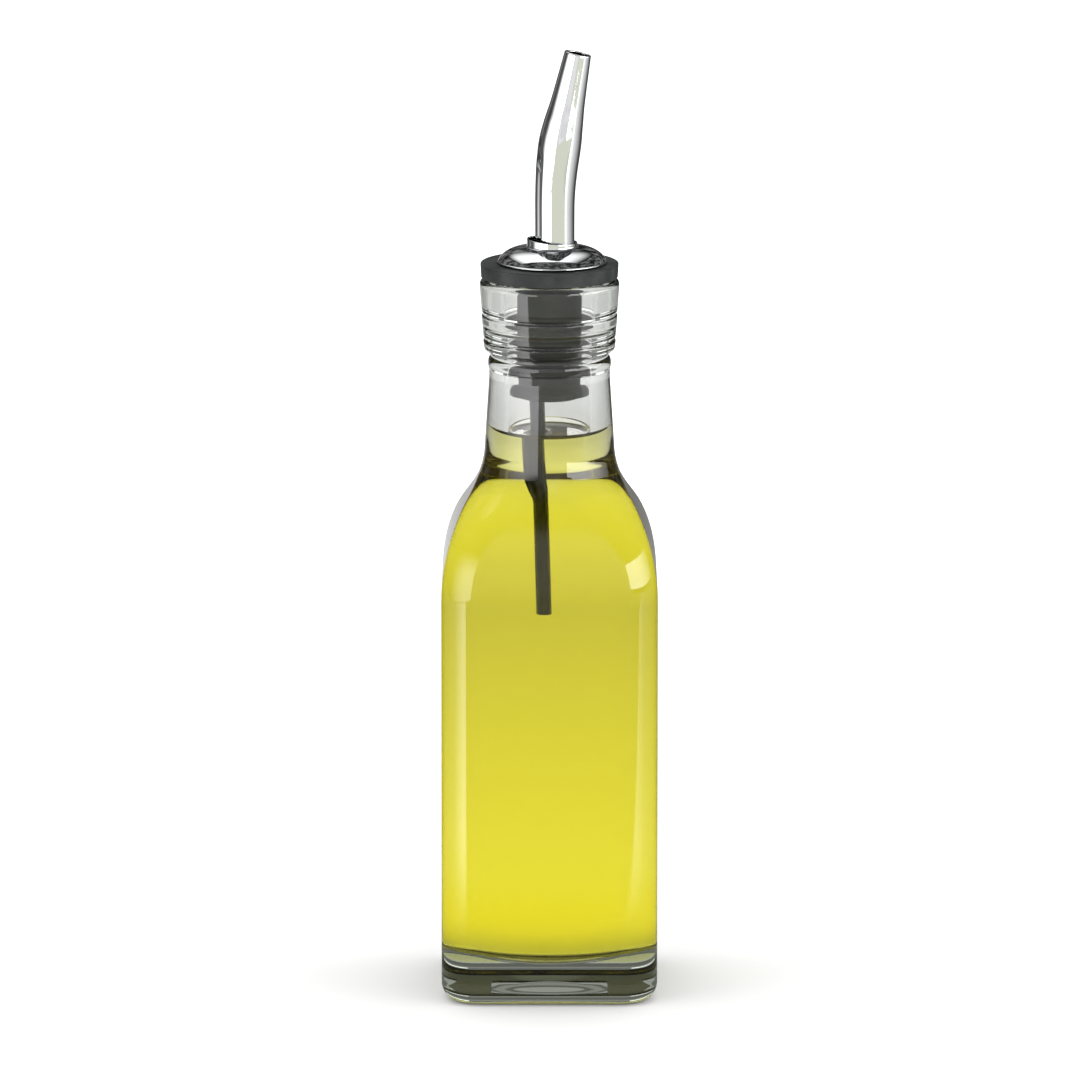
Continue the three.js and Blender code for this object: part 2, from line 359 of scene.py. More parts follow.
@dataclass(frozen=True)
class ClearGlass:
    """Moulded soda glass, slightly uneven, clear in the walls and grey-green in the thick base.

    Attributes:
        lost: What a metre of glass takes from red, green and blue, as exponents.
        ripple: Height of the slow unevenness of the surface, in metres.
        patches: Patches of the unevenness for each metre.
        streaks: Streaks of the unevenness for each metre, round the glass and along it.
    """

    lost: tuple[float, float, float] = (21.5, 20.0, 23.0)
    ripple: float = 0.00006
    patches: float = 38.0
    streaks: tuple[float, float] = (140.0, 22.0)

    WET = "wet"
    ALL_WET = 0.999

    def build(self) -> bpy.types.Material:
        """Makes the glass, whose wetted inside bends no light, as the oil's own side does that.

        Returns:
            The material.
        """
        material, graph = new_material("clear_glass")
        across, along = self.streaks
        slow = graph.noise(self.patches, 1.0)
        drawn = graph.noise(1.0, 1.0, at=graph.stretched(across, across, along))
        glass = graph.principled(
            {
                "Base Color": WHITE,
                "Roughness": 0.0,
                "IOR": GLASS_IOR,
                "Transmission Weight": 1.0,
                "Normal": graph.bump(slow * 0.7 + drawn * 0.3, self.ripple),
            },
        )
        passing = graph.ray("Shadow").most(graph.attribute(self.WET).above(self.ALL_WET))
        graph.finish(graph.choose(passing, glass, graph.clear()), graph.absorbing(self.lost))
        return material


@dataclass(frozen=True)
class OliveOil:
    """Clear golden oil, pale where it is thin and deep yellow where it is thick.

    Attributes:
        lost: What a metre of oil takes from red, green and blue, as exponents.
    """

    lost: tuple[float, float, float] = (3.0, 5.6, 79.0)

    OPEN_FACE = "open_face"

    def build(self) -> bpy.types.Material:
        """Makes the oil, whose open face meets air and whose sides meet glass.

        Returns:
            The material.
        """
        material, graph = new_material("olive_oil")
        side, face = (
            graph.principled(
                {"Base Color": WHITE, "Roughness": 0.0, "IOR": ior, "Transmission Weight": 1.0},
            )
            for ior in (OIL_IOR / GLASS_IOR, OIL_IOR)
        )
        surface = graph.choose(graph.attribute(self.OPEN_FACE), side, face)
        passing = graph.choose(graph.ray("Shadow"), surface, graph.clear())
        graph.finish(passing, graph.absorbing(self.lost))
        return material


@dataclass(frozen=True)
class CharcoalRubber:
    """Moulded rubber, matt, with a fine grain and a slightly paler bloom.

    Attributes:
        deep: The colour of most of it.
        pale: The colour of its bloom.
        relief: Height of its grain, in metres.
    """

    deep: tuple[float, float, float, float] = (0.012, 0.013, 0.0135, 1.0)
    pale: tuple[float, float, float, float] = (0.036, 0.038, 0.038, 1.0)
    relief: float = 0.00004

    def build(self) -> bpy.types.Material:
        """Makes the rubber of the flange and the plug.

        Returns:
            The material.
        """
        material, graph = new_material("charcoal_rubber")
        cloud = graph.noise(160.0, 3.0)
        grain = graph.noise(3200.0, 2.0)
        surface = graph.principled(
            {
                "Base Color": graph.blend(cloud.ease(0.35, 0.75), self.deep, self.pale),
                "Roughness": 0.5 + 0.16 * grain,
                "Specular IOR Level": 0.3,
                "Normal": graph.bump(grain * 0.6 + cloud * 0.4, self.relief, 0.6),
            },
        )
        graph.finish(surface)
        return material


@dataclass(frozen=True)
class PolishedChrome:
    """Bright chrome plate with the faint waves and fine polishing marks of pressed metal.

    Attributes:
        name: The material's name.
        colour: What it reflects.
        wave: Height of its slow waves, in metres.
    """

    name: str = "polished_chrome"
    colour: tuple[float, float, float, float] = (0.80, 0.805, 0.815, 1.0)
    wave: float = 0.00005

    def build(self) -> bpy.types.Material:
        """Makes the plated metal of the cap and the spout.

        Returns:
            The material.
        """
        material, graph = new_material(self.name)
        slow = graph.noise(170.0, 1.0)
        marks = graph.noise(1.0, 3.0, 0.6, at=graph.stretched(2600.0, 2600.0, 420.0))
        surface = graph.principled(
            {
                "Base Color": self.colour,
                "Metallic": 1.0,
                "Roughness": 0.045 + 0.06 * marks.ease(0.45, 0.8),
                "Normal": graph.bump(slow + marks * 0.02, self.wave),
            },
        )
        graph.finish(surface)
        return material


@dataclass(frozen=True)
class TubePlastic:
    """Smooth dark plastic of the breather tube.

    Attributes:
        colour: The colour of the plastic.
        pale: The colour of the faint lines along it.
        relief: Height of the lines, in metres.
    """

    colour: tuple[float, float, float, float] = (0.012, 0.013, 0.015, 1.0)
    pale: tuple[float, float, float, float] = (0.03, 0.032, 0.035, 1.0)
    relief: float = 0.00003

    def build(self) -> bpy.types.Material:
        """Makes the drawn plastic, with faint lines along the tube.

        Returns:
            The material.
        """
        material, graph = new_material("tube_plastic")
        drawn = graph.noise(1.0, 2.0, at=graph.stretched(1800.0, 1800.0, 60.0))
        surface = graph.principled(
            {
                "Base Color": graph.blend(drawn, self.colour, self.pale),
                "Roughness": 0.18 + 0.12 * drawn,
                "Normal": graph.bump(drawn, self.relief, 0.5),
            },
        )
        graph.finish(surface)
        return material


@dataclass(frozen=True)
class PaleFloor:
    """The matt white floor of the studio.

    The photographer's backdrop is whitened behind the bottle. Through the glass it carries painted
    shade, and a painted oil-tinted shadow beside the bottle; where glass and chrome mirror it, it shows
    a painted reflection, patchy: pale in front, bright under the lamps.

    Attributes:
        colour: The colour of the floor.
        oil_shadow_tint: Painted shadow: its colour through the glass beside the bottle, tinted as by the
            light that the oil lets by.
        whiten: How much brighter it is made far from the bottle.
        gain: How bright it is through the glass, beside the bottle.
        shade_per_metre: Painted shade: how much darker it is through the glass for each metre away from the
            bottle.
        deepest_shade: The most that the painted shade darkens it.
        shade_lift_far: How much of the painted shade is taken off again far away.
        near: Its mirrored brightness beside the bottle.
        pale: Its mirrored brightness further in front.
        pools: How much brighter it is mirrored under the left and the right lamp.
        gloom: Its mirrored brightness behind the bottle.
        rear: Its mirrored brightness straight behind the bottle, to the left and to the right.
    """

    colour: tuple[float, float, float, float] = (0.86, 0.86, 0.86, 1.0)
    oil_shadow_tint: tuple[float, float, float, float] = (0.86, 0.84, 0.46, 1.0)
    whiten: float = 0.6
    gain: float = 1.03
    shade_per_metre: float = 1.0
    deepest_shade: float = 0.5
    shade_lift_far: float = 0.3
    near: float = 0.25
    pale: float = 0.82
    pools: tuple[float, float] = (3.2, 1.6)
    gloom: float = 0.06
    rear: tuple[float, float] = (0.8, 0.3)

    # Yellowish tint of the painted reflection in the strip in front of the bottle.
    TINT = (0.97, 1.0, 0.84, 1.0)
    STRIP_LEFT = (-0.74, 0.02)
    STRIP_RIGHT = (0.43, 0.11)
    EDGE = 0.03

    def mirrored(self, graph: Graph) -> Wire:
        """The floor as glass and chrome mirror it, a painted reflection: a glow with pools of lamplight
        beyond two slanting edges, and a dimmer strip in front between them.

        Args:
            graph: The material's graph.

        Returns:
            A glowing surface.
        """
        x, y, _ = graph.axes(graph.place())
        front = y * -1
        reach = (x * x + y * y) ** 0.5
        facing = front / reach
        slope, shift = self.STRIP_LEFT
        left = (front * slope - x + shift).ease(0.0, self.EDGE)
        slope, shift = self.STRIP_RIGHT
        right = (x * slope - front + shift).ease(0.0, self.EDGE)
        # Painted pools of lamplight, left and right, as glass and chrome see the floor.
        pools = facing.ease(0.2, 0.8) * (left * self.pools[0] + right * self.pools[1])
        side = (facing + 0.75).most(self.gloom) + pools
        strip = front.ease(0.05, 0.5) * (self.pale - self.near) + self.near
        outside = left.most(right) * reach.ease(0.08, 0.2)
        lit = outside * (side - strip) + strip
        rear = x.ease(-0.05, 0.05) * (self.rear[1] - self.rear[0]) + self.rear[0]
        level = lit.most(facing.ease(-0.82, -0.97) * rear)
        return graph.glow(level, graph.blend(outside, self.TINT, WHITE))

    def build(self) -> bpy.types.Material:
        """Makes the floor's matt white, with its three looks.

        Returns:
            The material.
        """
        material, graph = new_material("pale_floor")
        x, y, _ = graph.axes(graph.place())
        tone = graph.noise(3.0, 2.0)
        spread = x * x + y * y
        reach = spread**0.5
        # Painted shade: through the glass the floor darkens with distance from the bottle, then lightens
        # again far away.
        painted_shade = (reach * self.shade_per_metre).least(self.deepest_shade) - reach.ease(0.4, 0.55) * self.shade_lift_far
        through = graph.ray("Transmission")
        level = (1 - through * (painted_shade + 1 - self.gain)) * (1 - tone * 0.01)
        # Painted shadow: through the glass, the floor beside the bottle takes the oil-tinted shadow colour.
        colour = graph.blend(through * reach.ease(0.12, 0.07), self.colour, self.oil_shadow_tint)
        whiter = graph.ray("Camera") * spread.ease(0.01, 0.3) * self.whiten
        lit = graph.principled(
            {
                "Base Color": graph.grey(level, colour),
                "Roughness": 0.9,
                "Specular IOR Level": 0.0,
                "Emission Color": graph.grey(whiter, WHITE),
                "Emission Strength": 1.0,
            },
        )
        graph.finish(graph.choose(graph.mirror_ray(), lit, self.mirrored(graph)))
        return material


# Outlines and meshes


@dataclass
class Outline:
    """Half of a section, drawn point by point as (radius, height).

    Attributes:
        points: The points so far.
    """

    points: list[Vector] = field(default_factory=list)

    HOLD: ClassVar[float] = 0.15

    def to(self, radius: float, height: float, steps: int = 1) -> Outline:
        """Draws a straight stretch, with a point near each end that keeps its shading straight.

        Args:
            radius: Where it ends, from the axis.
            height: Where it ends, above the base.
            steps: The number of pieces that it is cut into.

        Returns:
            The outline itself.
        """
        end = Vector((radius, height))
        if not self.points:
            self.points.append(end)
            return self
        start = self.points[-1].copy()
        shares = [step / steps for step in range(1, steps + 1)]
        length = (end - start).length
        if length > 4 * self.HOLD * steps:
            shares = [self.HOLD / length, *shares[:-1], 1 - self.HOLD / length, 1.0]
        self.points.extend(start.lerp(end, share) for share in shares)
        return self

    def bend(self, via: tuple[float, float], end: tuple[float, float], steps: int = 8) -> Outline:
        """Draws a bent stretch that heads for one point and ends at another.

        Args:
            via: The point that it heads for.
            end: Where it ends.
            steps: The number of pieces that it is cut into.

        Returns:
            The outline itself.
        """
        start, middle, last = self.points[-1].copy(), Vector(via), Vector(end)
        for step in range(1, steps + 1):
            share = step / steps
            self.points.append(start.lerp(middle, share).lerp(middle.lerp(last, share), share))
        return self

    def arc(
        self,
        centre: tuple[float, float],
        radii: tuple[float, float],
        turn: tuple[float, float],
        steps: int = 8,
    ) -> Outline:
        """Draws a stretch of an ellipse.

        Args:
            centre: Its centre.
            radii: Its radii across and up.
            turn: The angles where it starts and ends, in radians.
            steps: The number of pieces that it is cut into.

        Returns:
            The outline itself.
        """
        for step in range(steps + 1):
            angle = mix(turn[0], turn[1], step / steps)
            point = Vector((centre[0] + radii[0] * math.cos(angle), centre[1] + radii[1] * math.sin(angle)))
            if not self.points or (point - self.points[-1]).length > WELD:
                self.points.append(point)
        return self


def flowing(points: Iterable[tuple[float, float]], steps: int) -> list[Vector]:
    """A smooth curve through some points.

    Args:
        points: The points, in order.
        steps: The number of pieces that the curve is cut into.

    Returns:
        The points along the curve.
    """
    knots = [Vector(point) for point in points]
    last = len(knots) - 1
    found = []
    for step in range(steps + 1):
        along = last * step / steps
        index = min(int(along), last - 1)
        share = along - index
        before, start, end, after = (knots[min(last, max(0, index + shift))] for shift in (-1, 0, 1, 2))
        leave, arrive = (end - before) / 2, (after - start) / 2
        found.append(
            (2 * start - 2 * end + leave + arrive) * share**3
            + (3 * end - 3 * start - 2 * leave - arrive) * share**2
            + leave * share
            + start
        )
    return found


def spun(
    points: list[Vector],
    steps: int,
    closed: bool = False,
    tags: dict[str, list[float]] | None = None,
) -> bmesh.types.BMesh:
    """Turns an outline once round the Z axis.

    Args:
        points: The outline, as (radius, height).
        steps: The number of sides.
        closed: Whether the outline comes back to its start.
        tags: Named values for each point, kept on its ring.

    Returns:
        The mesh, in millimetres, with its faces pointing out.
    """
    bm = bmesh.new()
    layers = {name: bm.verts.layers.float.new(name) for name in tags or {}}
    verts = [bm.verts.new((point.x, 0.0, point.y)) for point in points]
    for name, layer in layers.items():
        for vert, value in zip(verts, tags[name], strict=True):
            vert[layer] = value
    pairs = list(zip(verts, verts[1:]))
    if closed:
        pairs.append((verts[-1], verts[0]))
    edges = [bm.edges.new(pair) for pair in pairs]
    bmesh.ops.spin(
        bm, geom=verts + edges, axis=(0, 0, 1), cent=(0, 0, 0), angle=math.tau, steps=steps, use_merge=True
    )
    bmesh.ops.remove_doubles(bm, verts=bm.verts, dist=WELD)
    bmesh.ops.recalc_face_normals(bm, faces=bm.faces)
    return bm


def warp(bm: bmesh.types.BMesh, move: Callable[[Vector], Vector]) -> None:
    """Moves every vertex of a mesh by a rule."""
    for vert in bm.verts:
        vert.co = move(vert.co)


def placed(name: str, data: bpy.types.ID) -> bpy.types.Object:
    """Puts a mesh, a lamp or a camera in the scene.

    Args:
        name: The object's name.
        data: What it shows.

    Returns:
        The object, at the origin.
    """
    made = bpy.data.objects.new(name, data)
    bpy.context.scene.collection.objects.link(made)
    return made


def covered(
    name: str, bm: bmesh.types.BMesh, material: bpy.types.Material | None = None
) -> bpy.types.Object:
    """Makes an object of a mesh in metres.

    Args:
        name: Its name.
        bm: Its mesh, which is used up.
        material: Its material, if it has one.

    Returns:
        The object, at the origin.
    """
    mesh = bpy.data.meshes.new(name)
    bm.to_mesh(mesh)
    bm.free()
    if material is not None:
        mesh.materials.append(material)
    return placed(name, mesh)


def finished(
    name: str, bm: bmesh.types.BMesh, material: bpy.types.Material | None = None
) -> bpy.types.Object:
    """Makes a smooth piece of a mesh in millimetres.

    Args:
        name: The piece's name.
        bm: Its mesh, which is used up.
        material: Its material, if it has one.

    Returns:
        The piece, at the origin, in metres.
    """
    bmesh.ops.scale(bm, vec=(MM, MM, MM), verts=bm.verts)
    for face in bm.faces:
        face.smooth = True
    return covered(name, bm, material)


def stand_for(piece: bpy.types.Object, node: str) -> bpy.types.Object:
    """Puts a piece in a node's place on the bottle.

    Args:
        piece: The finished piece.
        node: The solid that it replaces.

    Returns:
        The piece.
    """
    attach(piece, BODY)
    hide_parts(node)
    return piece


# Square glass


@dataclass(frozen=True)
class SquarePlan:
    """The plan of the bottle: square below the shoulder, round from the neck on.

    Attributes:
        half: Half the width of the body.
        corner: The radius of the body's corners.
        start: The height where the corners start to widen.
        end: The height from which the plan is round.
        bowl: The radius of the floor's bowl, by which far corners lie higher.
    """

    half: float
    corner: float
    start: float
    end: float
    bowl: float = 75.0

    BIAS = 0.45

    def on_wall(self, radius: float, height: float) -> float:
        """The corner radius of the wall at a height."""
        share = min(1.0, max(0.0, (height - self.start) / (self.end - self.start))) ** 3
        return radius * mix(self.corner / self.half, 1.0, share)

    def on_floor(self, radius: float) -> float:
        """The corner radius across the base or the floor, round in the middle."""
        core = self.half - self.corner
        return radius - core * smooth((radius - core / 2) / (core / 2))

    @staticmethod
    def reach(angle: float, half: float, corner: float) -> float:
        """How far a rounded square's outline lies from its centre in one direction.

        Args:
            angle: The direction, in radians.
            half: Half the square's width.
            corner: Its corner radius.

        Returns:
            The distance.
        """
        far = max(abs(math.cos(angle)), abs(math.sin(angle)))
        near = min(abs(math.cos(angle)), abs(math.sin(angle)))
        core = half - corner
        if near * half <= core * far:
            return half / far
        along = core * (near + far)
        return along + math.sqrt(max(0.0, along**2 - 2 * core**2 + corner**2))

    def press(self, bm: bmesh.types.BMesh) -> None:
        """Turns a spun mesh, whose rings carry "corner" and "lift", square.

        Args:
            bm: The mesh, in millimetres.
        """
        corner = bm.verts.layers.float["corner"]
        lift = bm.verts.layers.float["lift"]
        for vert in bm.verts:
            half = math.hypot(vert.co.x, vert.co.y)
            if half < WELD:
                continue
            turn = math.atan2(vert.co.y, vert.co.x)
            angle = turn + self.BIAS * math.sin(4 * turn) / 4
            reach = self.reach(angle, half, min(half, vert[corner]))
            vert.co.x = reach * math.cos(angle)
            vert.co.y = reach * math.sin(angle)
            vert.co.z += vert[lift] * (reach**2 - half**2) / (2 * self.bowl)


@dataclass(frozen=True)
class Cavity:
    """The room inside the glass.

    Attributes:
        half: Half its width.
        corner: The radius of its corners.
        floor: The height of the middle of its floor.
        bowl: The radius of the floor's shallow bowl.
        fillet: The rounding where the floor meets the wall.
        start: The height where the shoulder starts.
        inset: How far the shoulder's curve reaches in.
        rise: How far it reaches up.
        turn: How much of it there is, in radians.
        flare: The point that the way into the neck heads for.
        neck: The radius of the neck inside.
        neck_at: The height where the neck starts.
        round_from: The height from which it is round.
    """

    half: float = 21.0
    corner: float = 7.0
    floor: float = 7.0
    bowl: float = 75.0
    fillet: float = 3.2
    start: float = 88.0
    inset: float = 17.0
    rise: float = 28.0
    turn: float = 0.848
    flare: tuple[float, float] = (9.45, 117.4)
    neck: float = 9.3
    neck_at: float = 122.5
    round_from: float = 115.5

    FADE = 9.0

    @property
    def plan(self) -> SquarePlan:
        """The cavity's plan."""
        return SquarePlan(self.half, self.corner, self.start, self.round_from, self.bowl)

    @property
    def edge(self) -> float:
        """The height where the floor's bowl would meet the flat walls."""
        return self.floor + self.half**2 / (2 * self.bowl)

    def outline(self, outset: float = 0.0) -> Outline:
        """The cavity from the middle of its floor up to the neck.

        Args:
            outset: How far it reaches into the glass.

        Returns:
            The outline.
        """
        inner = self.half - self.fillet
        line = Outline().to(0.0, self.floor)
        line.bend((self.half / 2, self.floor), (inner, self.edge - self.fillet * inner / self.bowl), 16)
        line.bend((self.half, self.edge), (self.half, self.edge + self.fillet), 8)
        line.to(self.half, self.start, 12)
        line.arc((self.half - self.inset, self.start), (self.inset, self.rise), (0.0, self.turn), 20)
        line.bend(self.flare, (self.neck, self.neck_at), 16)
        for point in line.points:
            point.x += outset * (point.x > 0)
            point.y -= outset * (1 - smooth((point.y - self.edge) / self.fillet))
        return line

    def tags(self, points: list[Vector]) -> dict[str, list[float]]:
        """The values that press the cavity square, with the lift fading out above the floor.

        Args:
            points: The points of its outline.

        Returns:
            The corner radius and the lift of each point.
        """
        wall = self.edge + self.fillet
        return {
            "corner": [
                self.plan.on_floor(point.x) if point.y < wall else self.plan.on_wall(point.x, point.y)
                for point in points
            ],
            "lift": [1 - smooth((point.y - self.edge) / self.FADE) for point in points],
        }


@dataclass(frozen=True)
class GlassBottle:
    """The glass: a square body with a heavy base, a round neck and a tapered collar.

    Attributes:
        half: Half the width of the body.
        corner: The radius of its corners.
        heel: The rounding at the base.
        push_up: How far the base is hollowed.
        rest: Where the flat band that it stands on starts, from the axis.
        start: The height where the shoulder starts.
        inset: How far the shoulder's curve reaches in.
        rise: How far it reaches up.
        turn: How much of it there is, in radians.
        flare: The point that the way into the neck heads for.
        round_from: The height from which the outside is round.
        neck: The foot of the neck, as (radius, height).
        waist: The narrowest place of the neck, as (radius, height).
        undercut: The radius under the collar.
        bead: The bead under the collar, as (height, half its height, radius).
        collar: The collar's lower and upper edge, as two (radius, height).
        chamfer: The slope at the collar's lower edge.
        grooves: The heights of the fine grooves round the collar.
        groove: How deep and how high half a groove is.
        lip: The rounding of the rim outside.
        mouth_round: The rounding of the rim inside.
        bore: The mouth's radius, and the height down to which it holds.
        bore_low: The height where it has narrowed to the neck.
        wet: The height up to which oil wets the inside.
        cavity: The room inside.
    """

    half: float = 24.0
    corner: float = 8.0
    heel: float = 4.0
    push_up: float = 1.2
    rest: float = 13.0
    start: float = 90.5
    inset: float = 19.0
    rise: float = 29.5
    turn: float = 0.783
    flare: tuple[float, float] = (14.63, 117.3)
    round_from: float = 117.0
    neck: tuple[float, float] = (14.42, 122.5)
    waist: tuple[float, float] = (13.4, 138.5)
    undercut: float = 13.0
    bead: tuple[float, float, float] = (141.6, 1.4, 13.65)
    collar: tuple[tuple[float, float], tuple[float, float]] = ((14.5, 144.0), (15.5, 160.4))
    chamfer: float = 0.9
    grooves: tuple[float, ...] = (147.0, 152.6)
    groove: tuple[float, float] = (0.35, 0.45)
    lip: float = 1.4
    mouth_round: float = 0.8
    bore: tuple[float, float] = (10.05, 150.0)
    bore_low: float = 148.5
    wet: float = 126.8
    cavity: Cavity = Cavity()

    def collar_radius(self, height: float) -> float:
        """The collar's radius at a height, as it tapers out to the mouth."""
        (low, bottom), (high, top) = self.collar
        return mix(low, high, (height - bottom) / (top - self.lip - bottom))

    def outside(self) -> Outline:
        """Draws the outside, from the middle of the base to the rim of the mouth.

        Returns:
            The outline.
        """
        (low, bottom), (high, top) = self.collar
        quarter = math.pi / 2
        line = Outline().to(0.0, self.push_up)
        line.bend((self.rest * 0.6, self.push_up), (self.rest, 0.0), 14)
        line.to(self.half - self.heel, 0.0, 3)
        line.arc((self.half - self.heel, self.heel), (self.heel, self.heel), (-quarter, 0.0), 14)
        line.to(self.half, self.start, 12)
        line.arc((self.half - self.inset, self.start), (self.inset, self.rise), (0.0, self.turn), 24)
        line.bend(self.flare, self.neck, 18)
        line.to(*self.waist, 4)
        height, half, radius = self.bead
        line.to(self.waist[0], height - half)
        line.bend((radius, height - half * 0.9), (radius, height), 6)
        line.bend((radius, height + half * 0.8), (self.undercut, height + half), 6)
        line.to(self.undercut, bottom - 0.3)
        line.bend((self.undercut, bottom), (low - self.chamfer, bottom + 0.1), 5)
        line.bend((low - 0.1, bottom + self.chamfer * 0.4), (low, bottom + self.chamfer), 6)
        for groove in self.grooves:
            radius, (depth, reach) = self.collar_radius(groove), self.groove
            line.to(radius, groove - reach * 1.5)
            line.bend((radius, groove - reach), (radius - depth, groove), 4)
            line.bend((radius, groove + reach), (radius, groove + reach * 1.5), 4)
        line.to(high, top - self.lip, 3)
        line.arc((high - self.lip, top - self.lip), (self.lip, self.lip), (0.0, quarter), 10)
        return line

    def inside(self) -> Outline:
        """Draws the inside, from the rim of the mouth down to the oil's edge on the glass.

        Returns:
            The outline.
        """
        top, turned = self.collar[1][1], self.mouth_round
        radius, held = self.bore
        line = Outline().to(radius + turned, top)
        line.arc((radius + turned, top - turned), (-turned, turned), (math.pi / 2, 0.0), 6)
        line.to(radius, held)
        line.bend((radius, (held + self.bore_low) / 2), (self.cavity.neck, self.bore_low), 6)
        line.to(self.cavity.neck, self.wet)
        return line

    def build(self) -> bpy.types.Object:
        """Makes the glass.

        Returns:
            The bottle, dressed, in place of its node.
        """
        outside, mouth = self.outside().points, self.inside().points
        cavity = self.cavity.outline().points[::-1]
        plan = SquarePlan(self.half, self.corner, self.start, self.round_from)
        outer = [
            plan.on_floor(point.x) if point.y < self.heel else plan.on_wall(point.x, point.y)
            for point in outside
        ]
        lower = self.cavity.tags(cavity)
        wetted = [float(point.y < self.wet + WELD) for point in mouth + cavity]
        bm = spun(
            outside + mouth + cavity,
            SQUARE_STEPS,
            tags={
                "corner": outer + [point.x for point in mouth] + lower["corner"],
                "lift": [0.0] * len(outside + mouth) + lower["lift"],
                ClearGlass.WET: [0.0] * len(outside) + wetted,
            },
        )
        self.cavity.plan.press(bm)
        return stand_for(finished("glass_bottle", bm, ClearGlass().build()), "bottle")


@dataclass(frozen=True)
class Breather:
    """The thin tube that lets air in behind the oil as it pours.

    Attributes:
        outer: Its outer radius.
        inner: Its inner radius.
        end: The height of its cut end.
        end_x: Where its cut end lies, across.
        top: The height of its upper end, inside the plug.
        pass_x: Where it leaves the plug, across.
        pass_z: The height where it leaves the plug.
        edge: The rounding of its cut end.
    """

    outer: float = 1.7
    inner: float = 1.05
    end: float = 86.0
    end_x: float = -1.2
    top: float = 162.4
    pass_x: float = -2.8
    pass_z: float = 133.0
    edge: float = 0.12

    def middle(self, height: float) -> float:
        """Where the tube's middle lies across at a height, as it leans."""
        return self.end_x + (self.pass_x - self.end_x) * (height - self.end) / (self.pass_z - self.end)

    def lean(self, bm: bmesh.types.BMesh) -> None:
        """Leans an upright mesh on the Z axis onto the tube's line."""
        warp(bm, lambda point: Vector((point.x + self.middle(point.z), point.y, point.z)))

    def build(self) -> bpy.types.Object:
        """Makes the tube.

        Returns:
            The tube, dressed, in place of its node.
        """
        line = Outline().to(self.inner, self.end + self.edge)
        line.bend((self.inner, self.end), (self.inner + self.edge, self.end), 3)
        line.to(self.outer - self.edge, self.end)
        line.bend((self.outer, self.end), (self.outer, self.end + self.edge), 3)
        line.to(self.outer, self.top, 40).to(self.inner, self.top)
        bm = spun(line.points, 48, closed=True)
        self.lean(bm)
        piece = finished("breather_tube_dark", bm, TubePlastic().build())
        return stand_for(piece, "breather_tube")


@dataclass(frozen=True)
class OilFilling:
    """The olive oil, which fills the cavity up into the neck.

    Attributes:
        level: The height of its surface.
        climb: How far it climbs up the glass.
        climb_width: How wide the climb is.
        collar: How far it climbs up the breather tube, and how wide that is.
        into_wall: How far it reaches into the glass.
        cavity: The room that it fills.
        breather: The tube that stands in it.
    """

    level: float = 125.7
    climb: float = 1.1
    climb_width: float = 1.1
    collar: tuple[float, float] = (0.7, 0.6)
    into_wall: float = 0.06
    cavity: Cavity = Cavity()
    breather: Breather = Breather()

    def surface(self, point: Vector) -> float:
        """The height of the oil's open face.

        Args:
            point: A point of the face.

        Returns:
            Its height, with the climb at the glass and round the tube.
        """
        to_wall = self.cavity.neck - math.hypot(point.x, point.y)
        to_tube = math.hypot(point.x - self.breather.middle(self.level), point.y) - self.breather.outer
        rise, width = self.collar
        return (
            self.level
            + self.climb * math.exp(-max(0.0, to_wall) / self.climb_width * 2)
            + rise * math.exp(-max(0.0, to_tube) / width)
        )

    def build(self) -> bpy.types.Object:
        """Makes the oil.

        Returns:
            The oil, dressed, in place of its node.
        """
        edge = self.cavity.neck + self.into_wall
        top = self.level + self.climb
        wall = self.cavity.outline(self.into_wall).to(edge, top).points
        face = Outline([Vector((edge, top))]).to(0.0, top, 36).points[1:]
        tags = self.cavity.tags(wall)
        bm = spun(
            wall + face,
            SQUARE_STEPS,
            tags={
                "corner": tags["corner"] + [point.x for point in face],
                "lift": tags["lift"] + [0.0] * len(face),
                OliveOil.OPEN_FACE: [0.0] * (len(wall) - 1) + [1.0] * (len(face) + 1),
            },
        )
        self.cavity.plan.press(bm)
        open_face = bm.verts.layers.float[OliveOil.OPEN_FACE]
        for vert in bm.verts:
            if vert[open_face] > 0.5:
                vert.co.z = self.surface(vert.co)
        return stand_for(finished("olive_oil_filling", bm, OliveOil().build()), "oil")


# Pourer


@dataclass(frozen=True)
class Fin:
    """One of the soft fins round the plug.

    Attributes:
        height: Where its middle is.
        root: How thick it is at the plug.
        rim: How thick it is at its rim.
        radius: How far it reaches.
    """

    height: float
    root: float
    rim: float
    radius: float


